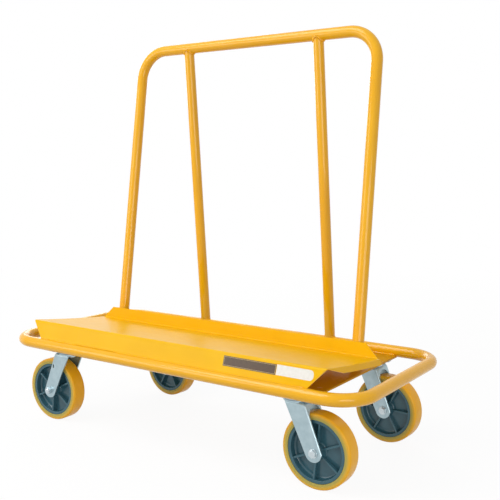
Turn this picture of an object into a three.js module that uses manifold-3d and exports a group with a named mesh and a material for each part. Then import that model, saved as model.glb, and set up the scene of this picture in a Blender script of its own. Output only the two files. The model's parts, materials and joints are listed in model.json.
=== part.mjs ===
// Sheet goods cart: a leaning tube hoop and a sloping sheet deck on a bumper loop with four swivel casters.
// Millimetres. +X runs along the cart, -Y faces the loading side, +Z is up and the floor is z = 0.
import * as THREE from "three";
import { mergeVertices } from "three/addons/utils/BufferGeometryUtils.js";
import Module from "manifold-3d";

// Clearance between pieces that touch on the real cart, how far a cutter runs past what it cuts, and the
// distance within which corners count as one.
const FIT_GAP = 0.3;
const CUT_MARGIN = 40;
const MERGE_DISTANCE = 0.001;
const HEX_SIDES = 6;

// Tube stock and its bending die.
const TUBE_DIAMETER = 34.925;
const BEND_RADIUS = 95;
const TUBE_SIDES = 16;
const TUBE_BEND_STEPS = 5;

// Bumper loop, measured between the tube's centrelines.
const LOOP_LENGTH = 1267.5;
const LOOP_WIDTH = 556;

// Cross plates above the casters, and how far their undersides lie above the loop's.
const MOUNT_PLATE_WIDTH = 140;
const MOUNT_PLATE_THICKNESS = 6;
const MOUNT_PLATE_RAISE = 1.6;

// Push hoop: lean from the vertical, height of the top bar's centre, how far each leg stands outside the
// kingpin below it, and how much nearer together the legs are at the top.
const LEAN = THREE.MathUtils.degToRad(7.5);
const HOOP_FOOT_Y = 65.3;
const HOOP_FOOT_OFFSET = 32.5;
const HOOP_TAPER = 17;
const HOOP_TOP_Z = 1229.5;

// Braces of lighter tube from the top bar to the far tube, a little past its centreline.
const BRACE_DIAMETER = 33.5;
const BRACE_TOP_SPREAD = 504;
const BRACE_FOOT_SPREAD = 512;
const BRACE_FOOT_OUTSET = 6;

// Deck tray, folded from one sheet and square to the hoop.
const SHEET = 3;
const SHEET_BEND_RADIUS = 4.5;
const SHEET_BEND_STEPS = 4;
const DECK_END_INSET = 90.25;
const DECK_DEPTH = 310.7;
const DECK_RISE = 37.5;
const FLANGE_HEIGHT = 39.6;
const FLANGE_FOOT_INSET = 7.5;
const FLANGE_TOP_INSET = 48;
const FACE_FOOT_INSET = 48;
const LIP_DROP = 14.5;
const LIP_FLARE = 8.5;
const LIP_NEAR_TAPER = 80;

// Caster layout: kingpins set in from the loop's centrelines at its ends, near side and far side, the way
// that each caster trails in degrees from +X, and how far its wheel core is turned on the axle.
const KINGPIN_INSET_END = 203.75;
const KINGPIN_INSET_NEAR = 71;
const KINGPIN_INSET_FAR = 58.5;
const CASTERS = [
  { name: "front_left", side: -1, row: -1, heading: 181.5, coreTurn: 24 },
  { name: "front_right", side: 1, row: -1, heading: -0.5, coreTurn: -24 },
  { name: "rear_left", side: -1, row: 1, heading: -4, coreTurn: 0 },
  { name: "rear_right", side: 1, row: 1, heading: -3.5, coreTurn: 0 },
];
const CASTER_HEIGHT = 247.7;
const CASTER_TRAIL = 67;

// Caster top plate and its flush bolts.
const TOP_PLATE_LENGTH = 114;
const TOP_PLATE_WIDTH = 102;
const TOP_PLATE_THICKNESS = 5.5;
const TOP_PLATE_CORNER = 12;
const TOP_PLATE_CORNER_STEPS = 3;
const BOLT_SPACING_X = 92;
const BOLT_SPACING_Y = 67;
const BOLT_DIAMETER = 9.5;
const BOLT_HEAD_DIAMETER = 17;
const BOLT_HEAD_HEIGHT = 4;
const BOLT_NUT_HEX = 16;
const BOLT_NUT_HEIGHT = 6.5;
const BOLT_STANDOUT = 3;
const BOLT_SIDES = 6;

// Swivel bearing and kingpin.
const RACE_OUTER_DIAMETER = 80;
const RACE_BORE = 46;
const RACE_HEIGHT = 6.4;
const RACE_CHAMFER = 1.6;
const RACEWAY_DEPTH = 4;
const RACEWAY_CHAMFER = 2;
const KINGPIN_DIAMETER = 18;
const KINGPIN_HEAD_DIAMETER = 30;
const KINGPIN_HEAD_HEIGHT = 3.2;
const KINGPIN_NUT_HEX = 27;
const KINGPIN_NUT_HEIGHT = 11;
const SWIVEL_SIDES = 16;

// Fork, pressed from plate.
const FORK_THICKNESS = 5;
const FORK_CLEAR_WIDTH = 62;
const FORK_SHOULDER_RADIUS = 8;
const FORK_SHOULDER_STEPS = 3;
const FORK_TOP_LENGTH = 60;
const FORK_TOP_SETBACK = 10;
const FORK_END_RADIUS = 24;
const FORK_END_STEPS = 8;

// Slot for a brake pivot in one leg of the fork.
const SLOT_LENGTH = 12;
const SLOT_WIDTH = 5;
const SLOT_SETBACK = 47;
const SLOT_Z = 185;
const SLOT_END_STEPS = 3;

// Axle.
const AXLE_DIAMETER = 12.7;
const AXLE_HEX = 19;
const AXLE_HEAD_HEIGHT = 7.5;
const AXLE_NUT_HEIGHT = 10.5;
const AXLE_THREAD_STANDOUT = 3.5;
const SLEEVE_DIAMETER = 19;
const AXLE_SIDES = 10;

// Wheel: moulded core with ribs, and a tread moulded round it.
const WHEEL_DIAMETER = 203.2;
const WHEEL_SIDES = 30;
const TREAD_WIDTH = 48;
const TREAD_DEPTH = 17;
const TREAD_SHOULDER = 6;
const CORE_WIDTH = 45;
const RIM_DEPTH = 9;
const WEB_THICKNESS = 8;
const HUB_DIAMETER = 44;
const HUB_SIDE_CLEARANCE = 1.2;
const RIB_COUNT = 6;
const RIB_THICKNESS = 6;
const RIB_RECESS = 3;

const DECK_LENGTH = LOOP_LENGTH - 2 * DECK_END_INSET;
const KINGPIN_SPREAD_X = LOOP_LENGTH - 2 * KINGPIN_INSET_END;
const HOOP_FOOT_SPREAD = KINGPIN_SPREAD_X + 2 * HOOP_FOOT_OFFSET;
const HOOP_TOP_SPREAD = HOOP_FOOT_SPREAD - HOOP_TAPER;
const TUBE_RADIUS = TUBE_DIAMETER / 2;
const WHEEL_RADIUS = WHEEL_DIAMETER / 2;
const MOUNT_PLATE_BOTTOM = CASTER_HEIGHT + FIT_GAP;
const MOUNT_PLATE_TOP = MOUNT_PLATE_BOTTOM + MOUNT_PLATE_THICKNESS;
const LOOP_Z = MOUNT_PLATE_BOTTOM - MOUNT_PLATE_RAISE + TUBE_RADIUS;
const HOOP_TOP_Y = HOOP_FOOT_Y + (HOOP_TOP_Z - MOUNT_PLATE_TOP) * Math.tan(LEAN);

const wasm = await Module();
wasm.setup();

const cart = new THREE.Group();

function paint(color, roughness, metalness) {
  return new THREE.MeshStandardMaterial({ color, roughness, metalness });
}

const YELLOW_PAINT = paint(0xf3b41c, 0.32, 0.0);
const ZINC_PLATE = paint(0xaab8bd, 0.35, 0.9);
const BRIGHT_ZINC = paint(0xc9d1d4, 0.28, 0.95);
const AMBER_TREAD = paint(0xe39a22, 0.45, 0.0);
const DARK_CORE = paint(0x2b3c48, 0.4, 0.0);

// Booleans on closed geometries.

function toSolid(geometry) {
  const bare = new THREE.BufferGeometry();
  const loose = geometry.index ? geometry.toNonIndexed() : geometry;
  bare.setAttribute("position", loose.getAttribute("position").clone());
  const merged = mergeVertices(bare, MERGE_DISTANCE);
  const mesh = new wasm.Mesh({
    numProp: 3,
    vertProperties: merged.getAttribute("position").array,
    triVerts: new Uint32Array(merged.index.array),
  });
  return new wasm.Manifold(mesh);
}

function toGeometry(solid) {
  const mesh = solid.getMesh();
  const geometry = new THREE.BufferGeometry();
  geometry.setAttribute("position", new THREE.BufferAttribute(mesh.vertProperties.slice(), 3));
  geometry.setIndex(new THREE.BufferAttribute(mesh.triVerts.slice(), 1));
  geometry.computeVertexNormals();
  return geometry;
}

function join(...geometries) {
  return toGeometry(geometries.map(toSolid).reduce((all, next) => all.add(next)));
}

function cut(geometry, ...cutters) {
  return toGeometry(cutters.map(toSolid).reduce((rest, cutter) => rest.subtract(cutter), toSolid(geometry)));
}

function intersect(geometry, other) {
  return toGeometry(toSolid(geometry).intersect(toSolid(other)));
}

// Shapes that several pieces share.

function circleShape(radius, sides) {
  const points = [];
  for (let i = 0; i < sides; i += 1) {
    const angle = (2 * Math.PI * i) / sides;
    points.push(new THREE.Vector2(radius * Math.cos(angle), radius * Math.sin(angle)));
  }
  return new THREE.Shape(points);
}

function prism(shape, depth) {
  return new THREE.ExtrudeGeometry(shape, { depth, bevelEnabled: false });
}

function rod(radius, length, sides) {
  return prism(circleShape(radius, sides), length);
}

function hexShape(acrossFlats) {
  return circleShape(acrossFlats / 2 / Math.cos(Math.PI / HEX_SIDES), HEX_SIDES);
}

function hexPrism(acrossFlats, height) {
  return prism(hexShape(acrossFlats), height);
}

function polygon(...corners) {
  return new THREE.Shape(corners.map(([x, y]) => new THREE.Vector2(x, y)));
}

// A prism whose outline is drawn in X and Z, running along +Y from yStart.
function prismAlongY(shape, yStart, length) {
  return prism(shape, length).rotateX(Math.PI / 2).translate(0, yStart + length, 0);
}

// A prism whose outline is drawn in Y and Z, running along +X from xStart.
function prismAlongX(shape, xStart, length) {
  return prism(shape, length).rotateX(Math.PI / 2).rotateZ(Math.PI / 2).translate(xStart, 0, 0);
}

function roundedRectangle(length, width, corner, steps) {
  const points = [];
  const quarter = Math.PI / 2;
  [[1, 1], [-1, 1], [-1, -1], [1, -1]].forEach(([xSide, ySide], i) => {
    const centre = new THREE.Vector2(xSide * (length / 2 - corner), ySide * (width / 2 - corner));
    for (let step = 0; step <= steps; step += 1) {
      const angle = quarter * (i + step / steps);
      const spoke = new THREE.Vector2(Math.cos(angle), Math.sin(angle)).multiplyScalar(corner);
      points.push(spoke.add(centre));
    }
  });
  return new THREE.Shape(points);
}

function addHole(shape, x, y, radius, sides) {
  const hole = circleShape(radius, sides).getPoints().map((point) => point.add(new THREE.Vector2(x, y)));
  shape.holes.push(new THREE.Path(hole));
}

// Stations along straight runs joined by round bends: where a section sits and which way the run goes there.
function bendStations(corners, radius, steps) {
  const stations = [];
  const last = corners.length - 1;
  corners.forEach((corner, i) => {
    if (i === 0 || i === last) {
      const from = corners[Math.max(i - 1, 0)];
      const to = corners[Math.min(i + 1, last)];
      stations.push({ point: corner.clone(), tangent: to.clone().sub(from).normalize() });
      return;
    }
    const into = corner.clone().sub(corners[i - 1]).normalize();
    const out = corners[i + 1].clone().sub(corner).normalize();
    const turn = into.angleTo(out);
    const setback = radius * Math.tan(turn / 2);
    const start = corner.clone().addScaledVector(into, -setback);
    const inward = out.clone().addScaledVector(into, -into.dot(out)).normalize();
    const centre = start.clone().addScaledVector(inward, radius);
    for (let step = 0; step <= steps; step += 1) {
      const angle = (turn * step) / steps;
      const point = centre.clone();
      point.addScaledVector(inward, -radius * Math.cos(angle));
      point.addScaledVector(into, radius * Math.sin(angle));
      const tangent = into.clone().multiplyScalar(Math.cos(angle)).addScaledVector(inward, Math.sin(angle));
      stations.push({ point, tangent });
    }
  });
  return stations;
}

// The outline, in Y and Z, of a sheet that is bent along a line of corners through its middle.
function foldedSheet(corners, thickness, bendRadius, steps) {
  const stations = bendStations(corners, bendRadius, steps);
  const edge = (side) =>
    stations.map(({ point, tangent }) => [
      point.y - (side * thickness * tangent.z) / 2,
      point.z + (side * thickness * tangent.y) / 2,
    ]);
  return polygon(...edge(1), ...edge(-1).reverse());
}

// A path that hands out its own stations, so that rings are spent on bends and not on straight runs.
class BentPath extends THREE.Curve {
  constructor(corners, radius, steps) {
    super();
    this.stations = bendStations(corners, radius, steps);
  }

  stationAt(u) {
    return this.stations[Math.round(u * (this.stations.length - 1))];
  }

  getPointAt(u, target = new THREE.Vector3()) {
    return target.copy(this.stationAt(u).point);
  }

  getTangentAt(u, target = new THREE.Vector3()) {
    return target.copy(this.stationAt(u).tangent);
  }
}

function bentTube(corners, radius = TUBE_RADIUS) {
  const path = new BentPath(corners, BEND_RADIUS, TUBE_BEND_STEPS);
  const section = circleShape(radius, TUBE_SIDES);
  return new THREE.ExtrudeGeometry(section, { steps: path.stations.length - 1, extrudePath: path });
}

function straightTube(from, to, radius = TUBE_RADIUS) {
  return bentTube([from, to], radius);
}

// A cutter along X that leaves room all round a tube through the given point.
function tubeCutter(middle, reach) {
  const radius = (TUBE_RADIUS + FIT_GAP) / Math.cos(Math.PI / TUBE_SIDES);
  return straightTube(middle.clone().setX(-reach), middle.clone().setX(reach), radius);
}

function vec(x, y, z) {
  return new THREE.Vector3(x, y, z);
}

function addMesh(group, name, geometry, material) {
  const mesh = new THREE.Mesh(geometry, material);
  mesh.name = name;
  group.add(mesh);
  return mesh;
}

// Bumper loop: two bent halves welded end to end.

function bumperLoop() {
  const x = LOOP_LENGTH / 2;
  const y = LOOP_WIDTH / 2;
  const halves = [-1, 1].map((side) =>
    bentTube([
      vec(0, -side * y, LOOP_Z),
      vec(side * x, -side * y, LOOP_Z),
      vec(side * x, side * y, LOOP_Z),
      vec(0, side * y, LOOP_Z),
    ]),
  );
  return join(...halves);
}

// Cross plate: it fits between the undersides of the long tubes, and its bolt holes are countersunk.

function mountPlate(side) {
  const tubeHalfChord = Math.sqrt(TUBE_RADIUS ** 2 - (LOOP_Z - MOUNT_PLATE_TOP) ** 2);
  const width = LOOP_WIDTH - 2 * (tubeHalfChord + FIT_GAP);
  const x = MOUNT_PLATE_WIDTH / 2;
  const y = width / 2;
  const outline = polygon([-x, -y], [x, -y], [x, y], [-x, y]);
  const plate = prism(outline, MOUNT_PLATE_THICKNESS).translate(0, 0, MOUNT_PLATE_BOTTOM);
  const holes = [];
  for (const row of [-1, 1]) {
    for (const [boltX, boltY] of boltPlaces()) {
      holes.push(countersink().translate(boltX, kingpinY(row) + boltY, 0));
    }
  }
  return cut(plate, ...holes).translate((side * KINGPIN_SPREAD_X) / 2, 0, 0);
}

function countersink() {
  const shank = BOLT_DIAMETER / 2 + FIT_GAP;
  const rim = BOLT_HEAD_DIAMETER / 2 + FIT_GAP;
  return lathe(
    [
      [0, MOUNT_PLATE_BOTTOM - CUT_MARGIN],
      [shank, MOUNT_PLATE_BOTTOM - CUT_MARGIN],
      [shank, MOUNT_PLATE_TOP - BOLT_HEAD_HEIGHT - FIT_GAP],
      [rim, MOUNT_PLATE_TOP - FIT_GAP],
      [rim, MOUNT_PLATE_TOP + CUT_MARGIN],
      [0, MOUNT_PLATE_TOP + CUT_MARGIN],
    ],
    BOLT_SIDES,
  );
}

function kingpinY(row) {
  return row < 0 ? KINGPIN_INSET_NEAR - LOOP_WIDTH / 2 : LOOP_WIDTH / 2 - KINGPIN_INSET_FAR;
}

function boltPlaces() {
  const x = BOLT_SPACING_X / 2;
  const y = BOLT_SPACING_Y / 2;
  return [
    [-x, -y],
    [x, -y],
    [x, y],
    [-x, y],
  ];
}

// The leaning frame: its origin is on the cross plates, its local Z runs up the hoop's legs and its
// local -Y runs down the deck towards the loading side.

const leaning = new THREE.Group();
leaning.position.set(0, HOOP_FOOT_Y, MOUNT_PLATE_TOP);
leaning.rotation.x = -LEAN;
leaning.updateMatrix();
const intoLeaning = leaning.matrix.clone().invert();

function pushHoop() {
  const top = (HOOP_TOP_Z - MOUNT_PLATE_TOP) / Math.cos(LEAN);
  const foot = HOOP_FOOT_SPREAD / 2;
  const shoulder = HOOP_TOP_SPREAD / 2;
  const below = -TUBE_RADIUS;
  const hoop = bentTube([
    vec(-foot, 0, below),
    vec(-shoulder, 0, top),
    vec(shoulder, 0, top),
    vec(foot, 0, below),
  ]);
  const margin = TUBE_DIAMETER + 2 * CUT_MARGIN;
  const ground = new THREE.BoxGeometry(HOOP_FOOT_SPREAD + margin, margin, CUT_MARGIN);
  ground.translate(0, HOOP_FOOT_Y, MOUNT_PLATE_TOP + FIT_GAP - CUT_MARGIN / 2);
  return cut(hoop, ground.applyMatrix4(intoLeaning));
}

// Brace: coped at both ends against the top bar and the far tube.

function brace(side) {
  const topBar = vec(0, HOOP_TOP_Y, HOOP_TOP_Z);
  const farTube = vec(0, LOOP_WIDTH / 2, LOOP_Z);
  const top = topBar.clone().setX((side * BRACE_TOP_SPREAD) / 2);
  const foot = vec((side * BRACE_FOOT_SPREAD) / 2, farTube.y + BRACE_FOOT_OUTSET, LOOP_Z);
  const copes = [topBar, farTube].map((axis) => tubeCutter(axis, BRACE_FOOT_SPREAD));
  return cut(straightTube(foot, top, BRACE_DIAMETER / 2), ...copes);
}

// Deck tray: a folded section swept along the cart, then trimmed at its ends.

function deckTray() {
  const half = DECK_LENGTH / 2;
  const flangeFront = -(TUBE_RADIUS + FIT_GAP + SHEET);
  const ridge = flangeFront - DECK_DEPTH;
  const flangeTop = DECK_RISE + FLANGE_HEIGHT;
  const nearTube = vec(0, -LOOP_WIDTH / 2, LOOP_Z).applyMatrix4(intoLeaning);
  const faceFoot = nearTube.z + TUBE_RADIUS;
  const tray = traySection(flangeFront, flangeTop, ridge, nearTube);

  const faceTop = DECK_RISE - SHEET;
  const faceRake = FACE_FOOT_INSET / (DECK_RISE - faceFoot);
  const flangeRake = (FLANGE_TOP_INSET - FLANGE_FOOT_INSET) / FLANGE_HEIGHT;
  const reach = half + CUT_MARGIN;
  const faceEnd = (z) => half - (DECK_RISE - z) * faceRake;
  const flangeEnd = (z) => half - FLANGE_FOOT_INSET - (z - DECK_RISE) * flangeRake;
  const below = faceFoot - CUT_MARGIN;
  const above = flangeTop + SHEET;
  const trims = [];
  for (const side of [-1, 1]) {
    const face = polygon(
      [side * faceEnd(faceTop), faceTop],
      [side * reach, faceTop],
      [side * reach, below],
      [side * faceEnd(below), below],
    );
    trims.push(prismAlongY(face, ridge - CUT_MARGIN, 2 * CUT_MARGIN));
    const flange = polygon(
      [side * flangeEnd(DECK_RISE), DECK_RISE],
      [side * reach, DECK_RISE],
      [side * reach, above],
      [side * flangeEnd(above), above],
    );
    trims.push(prismAlongY(flange, flangeFront - SHEET_BEND_RADIUS, CUT_MARGIN));
  }
  const trimmed = cut(tray, ...trims);
  const lips = [-1, 1].map((side) => endLip(side, ridge, flangeFront - SHEET_BEND_RADIUS));
  return cut(join(trimmed, ...lips), tubeCutter(nearTube, reach));
}

// The folded section from the flange's top edge, along the deck, over the ridge and down to the near tube.
function traySection(flangeFront, flangeTop, ridge, nearTube) {
  const mid = SHEET / 2;
  const corners = [
    vec(0, flangeFront + mid, flangeTop),
    vec(0, flangeFront + mid, DECK_RISE - mid),
    vec(0, ridge + mid, DECK_RISE - mid),
    vec(0, nearTube.y + mid, nearTube.z + TUBE_RADIUS - SHEET),
  ];
  const outline = foldedSheet(corners, SHEET, SHEET_BEND_RADIUS, SHEET_BEND_STEPS);
  return prismAlongX(outline, -DECK_LENGTH / 2, DECK_LENGTH);
}

// End lip: the deck's end turned down, tapering away towards the ridge.
function endLip(side, ridge, farEnd) {
  const half = DECK_LENGTH / 2;
  const slant = Math.hypot(LIP_DROP, LIP_FLARE);
  const inX = (SHEET * LIP_DROP) / slant;
  const inZ = (SHEET * LIP_FLARE) / slant;
  const section = polygon(
    [side * (half - SHEET), DECK_RISE],
    [side * half, DECK_RISE],
    [side * (half + LIP_FLARE), DECK_RISE - LIP_DROP],
    [side * (half + LIP_FLARE - inX), DECK_RISE - LIP_DROP - inZ],
    [side * (half - SHEET), DECK_RISE - SHEET],
  );
  const nearEnd = ridge + SHEET;
  const lip = prismAlongY(section, nearEnd, farEnd - nearEnd);
  const taper = polygon(
    [nearEnd - SHEET, DECK_RISE - SHEET],
    [nearEnd + LIP_NEAR_TAPER, DECK_RISE - LIP_DROP - SHEET],
    [nearEnd + LIP_NEAR_TAPER, DECK_RISE - LIP_DROP - CUT_MARGIN],
    [nearEnd - SHEET, DECK_RISE - LIP_DROP - CUT_MARGIN],
  );
  return cut(lip, prismAlongX(taper, side * half - CUT_MARGIN, 2 * CUT_MARGIN));
}

// Caster heights, from the top plate down to the fork's crown.

const TOP_PLATE_BOTTOM = CASTER_HEIGHT - TOP_PLATE_THICKNESS;
const RACE_TOP = TOP_PLATE_BOTTOM - RACEWAY_DEPTH - FIT_GAP;
const RACE_BOTTOM = RACE_TOP - RACE_HEIGHT;
const CROWN_TOP = RACE_BOTTOM - FIT_GAP;
const CROWN_BOTTOM = CROWN_TOP - FORK_THICKNESS;
const FORK_HALF_INSIDE = FORK_CLEAR_WIDTH / 2;
const FORK_HALF_OUTSIDE = FORK_HALF_INSIDE + FORK_THICKNESS;

// A turned solid about Z whose first corner lies along +X, as a circle's does.
function lathe(profile, sides) {
  const points = profile.map(([radius, z]) => new THREE.Vector2(radius, z));
  return new THREE.LatheGeometry(points, sides, Math.PI / 2).rotateX(Math.PI / 2);
}

// A lathe ring: the profile is closed by its own first point.
function latheRing(profile, sides) {
  return lathe([...profile, profile[0]], sides);
}

// Top plate: bolt holes, a recess for the kingpin's head and a pressed raceway below.
function topPlate() {
  const outline = roundedRectangle(
    TOP_PLATE_LENGTH,
    TOP_PLATE_WIDTH,
    TOP_PLATE_CORNER,
    TOP_PLATE_CORNER_STEPS,
  );
  for (const [x, y] of boltPlaces()) {
    addHole(outline, x, y, BOLT_DIAMETER / 2 + FIT_GAP, BOLT_SIDES);
  }
  const plate = prism(outline, TOP_PLATE_THICKNESS).translate(0, 0, TOP_PLATE_BOTTOM);
  const outer = RACE_OUTER_DIAMETER / 2;
  const raceway = lathe(
    [
      [0, TOP_PLATE_BOTTOM - RACEWAY_DEPTH],
      [outer - RACEWAY_CHAMFER, TOP_PLATE_BOTTOM - RACEWAY_DEPTH],
      [outer, TOP_PLATE_BOTTOM - RACEWAY_DEPTH + RACEWAY_CHAMFER],
      [outer, TOP_PLATE_BOTTOM + FIT_GAP],
      [0, TOP_PLATE_BOTTOM + FIT_GAP],
    ],
    SWIVEL_SIDES,
  );
  const bore = rod(KINGPIN_DIAMETER / 2 + FIT_GAP, CUT_MARGIN, SWIVEL_SIDES);
  const recess = rod(KINGPIN_HEAD_DIAMETER / 2 + FIT_GAP, CUT_MARGIN, SWIVEL_SIDES);
  return cut(
    join(plate, raceway),
    bore.translate(0, 0, CASTER_HEIGHT - CUT_MARGIN / 2),
    recess.translate(0, 0, CASTER_HEIGHT - KINGPIN_HEAD_HEIGHT - FIT_GAP * 2),
  );
}

// Plate bolt: flush head in the cross plate, shank through both plates, nut below.
function plateBolt() {
  const nutBottom = TOP_PLATE_BOTTOM - FIT_GAP - BOLT_NUT_HEIGHT;
  const nut = hexPrism(BOLT_NUT_HEX, BOLT_NUT_HEIGHT).translate(0, 0, nutBottom);
  const shank = BOLT_DIAMETER / 2;
  const bolt = lathe(
    [
      [0, nutBottom - BOLT_STANDOUT],
      [shank, nutBottom - BOLT_STANDOUT],
      [shank, MOUNT_PLATE_TOP - BOLT_HEAD_HEIGHT],
      [BOLT_HEAD_DIAMETER / 2, MOUNT_PLATE_TOP],
      [0, MOUNT_PLATE_TOP],
    ],
    BOLT_SIDES,
  );
  return join(bolt, nut);
}

// Kingpin: head in the top plate's recess, shank through the swivel, nut under the fork's crown.
function kingpin() {
  const headTop = CASTER_HEIGHT - FIT_GAP;
  const nutTop = CROWN_BOTTOM - FIT_GAP;
  const nutBottom = nutTop - KINGPIN_NUT_HEIGHT;
  const shank = rod(KINGPIN_DIAMETER / 2, headTop - nutBottom, SWIVEL_SIDES);
  const head = rod(KINGPIN_HEAD_DIAMETER / 2, KINGPIN_HEAD_HEIGHT, SWIVEL_SIDES);
  return join(
    shank.translate(0, 0, nutBottom),
    head.translate(0, 0, headTop - KINGPIN_HEAD_HEIGHT),
    hexPrism(KINGPIN_NUT_HEX, KINGPIN_NUT_HEIGHT).translate(0, 0, nutBottom),
  );
}

// Ball race: a ring with chamfered outer edges.
function ballRace() {
  const outer = RACE_OUTER_DIAMETER / 2;
  const inner = RACE_BORE / 2;
  return latheRing(
    [
      [inner, RACE_BOTTOM],
      [outer - RACE_CHAMFER, RACE_BOTTOM],
      [outer, RACE_BOTTOM + RACE_CHAMFER],
      [outer, RACE_TOP - RACE_CHAMFER],
      [outer - RACE_CHAMFER, RACE_TOP],
      [inner, RACE_TOP],
    ],
    SWIVEL_SIDES,
  );
}

// Fork: a folded channel trimmed to raked legs with round ends, under a round crown.
function fork() {
  const mid = FORK_THICKNESS / 2;
  const legBottom = WHEEL_RADIUS - FORK_END_RADIUS - FORK_THICKNESS;
  const corners = [
    vec(0, -FORK_HALF_INSIDE - mid, legBottom),
    vec(0, -FORK_HALF_INSIDE - mid, CROWN_TOP - mid),
    vec(0, FORK_HALF_INSIDE + mid, CROWN_TOP - mid),
    vec(0, FORK_HALF_INSIDE + mid, legBottom),
  ];
  const outline = foldedSheet(corners, FORK_THICKNESS, FORK_SHOULDER_RADIUS, FORK_SHOULDER_STEPS);
  const reach = CASTER_TRAIL + FORK_TOP_LENGTH + FORK_END_RADIUS;
  const span = FORK_HALF_OUTSIDE + CUT_MARGIN;
  const channel = prismAlongX(outline, -reach, 2 * reach);
  const legs = intersect(channel, prismAlongY(forkSide(), -span, 2 * span));
  const crown = rod(RACE_OUTER_DIAMETER / 2, FORK_THICKNESS, SWIVEL_SIDES).translate(0, 0, CROWN_BOTTOM);
  const pinHole = rod(KINGPIN_DIAMETER / 2 + FIT_GAP, CUT_MARGIN, SWIVEL_SIDES);
  const axleHole = rod(AXLE_DIAMETER / 2 + FIT_GAP, 2 * span, AXLE_SIDES);
  return cut(
    join(legs, crown),
    pinHole.translate(0, 0, CROWN_TOP - CUT_MARGIN / 2),
    alongAxle(axleHole, -span).translate(CASTER_TRAIL, 0, WHEEL_RADIUS),
    prismAlongY(slotOutline(), 0, span),
  );
}

function slotOutline() {
  const radius = SLOT_WIDTH / 2;
  const points = [];
  for (const end of [1, -1]) {
    const centre = new THREE.Vector2(SLOT_SETBACK, SLOT_Z + (end * (SLOT_LENGTH - SLOT_WIDTH)) / 2);
    for (let step = 0; step <= SLOT_END_STEPS; step += 1) {
      const angle = (Math.PI * step) / SLOT_END_STEPS;
      const spoke = new THREE.Vector2(end * Math.cos(angle), end * Math.sin(angle)).multiplyScalar(radius);
      points.push(spoke.add(centre));
    }
  }
  return new THREE.Shape(points);
}

// The fork's side outline: straight raked edges from the crown to a round end about the axle.
function forkSide() {
  const front = FORK_TOP_SETBACK - FORK_TOP_LENGTH / 2;
  const back = FORK_TOP_SETBACK + FORK_TOP_LENGTH / 2;
  const top = CROWN_TOP + FORK_THICKNESS;
  const axle = new THREE.Vector2(CASTER_TRAIL, WHEEL_RADIUS);
  const tangentAngle = (cornerX, turn) => {
    const away = new THREE.Vector2(cornerX, top).sub(axle);
    return away.angle() + turn * Math.acos(FORK_END_RADIUS / away.length());
  };
  const start = tangentAngle(front, 1);
  const end = tangentAngle(back, -1) + 2 * Math.PI;
  const points = [new THREE.Vector2(front, top)];
  for (let step = 0; step <= FORK_END_STEPS; step += 1) {
    const angle = start + ((end - start) * step) / FORK_END_STEPS;
    const spoke = new THREE.Vector2(Math.cos(angle), Math.sin(angle)).multiplyScalar(FORK_END_RADIUS);
    points.push(spoke.add(axle));
  }
  points.push(new THREE.Vector2(back, top));
  return new THREE.Shape(points);
}

// Axle pieces lie along local Y through the origin, and are lifted to the axle's place by their group.

function alongAxle(geometry, yStart) {
  return geometry.rotateX(-Math.PI / 2).translate(0, yStart, 0);
}

function axleBolt() {
  const seat = FORK_HALF_OUTSIDE + FIT_GAP;
  const tip = seat + AXLE_NUT_HEIGHT + AXLE_THREAD_STANDOUT;
  const head = alongAxle(hexPrism(AXLE_HEX, AXLE_HEAD_HEIGHT), -seat - AXLE_HEAD_HEIGHT);
  const shank = alongAxle(rod(AXLE_DIAMETER / 2, seat + tip + FIT_GAP, AXLE_SIDES), -seat - FIT_GAP);
  return join(head, shank);
}

function axleNut() {
  const outline = hexShape(AXLE_HEX);
  addHole(outline, 0, 0, AXLE_DIAMETER / 2 + FIT_GAP, AXLE_SIDES);
  return alongAxle(prism(outline, AXLE_NUT_HEIGHT), FORK_HALF_OUTSIDE + FIT_GAP);
}

function axleSleeve() {
  const outline = circleShape(SLEEVE_DIAMETER / 2, AXLE_SIDES);
  addHole(outline, 0, 0, AXLE_DIAMETER / 2 + FIT_GAP, AXLE_SIDES);
  const half = FORK_HALF_INSIDE - FIT_GAP;
  return alongAxle(prism(outline, 2 * half), -half);
}

// Wheel pieces are revolved about local Y, with a flat of the tread downwards.

function revolve(profile) {
  const flatDown = Math.PI / WHEEL_SIDES - Math.PI / 2;
  return latheRing(profile, WHEEL_SIDES).rotateZ(flatDown).rotateX(Math.PI / 2);
}

// Radius of a polygon's corner whose flats lie at the given radius.
function overFlats(radius) {
  return radius / Math.cos(Math.PI / WHEEL_SIDES);
}

const CORE_RADIUS = WHEEL_RADIUS - TREAD_DEPTH;

function tread() {
  const half = TREAD_WIDTH / 2;
  const outer = overFlats(WHEEL_RADIUS);
  const inner = overFlats(CORE_RADIUS + FIT_GAP);
  const shoulder = TREAD_SHOULDER;
  const ease = shoulder * (1 - Math.SQRT1_2);
  return revolve([
    [inner, -half],
    [outer - shoulder, -half],
    [outer - ease, -half + ease],
    [outer, -half + shoulder],
    [outer, half - shoulder],
    [outer - ease, half - ease],
    [outer - shoulder, half],
    [inner, half],
  ]);
}

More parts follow.
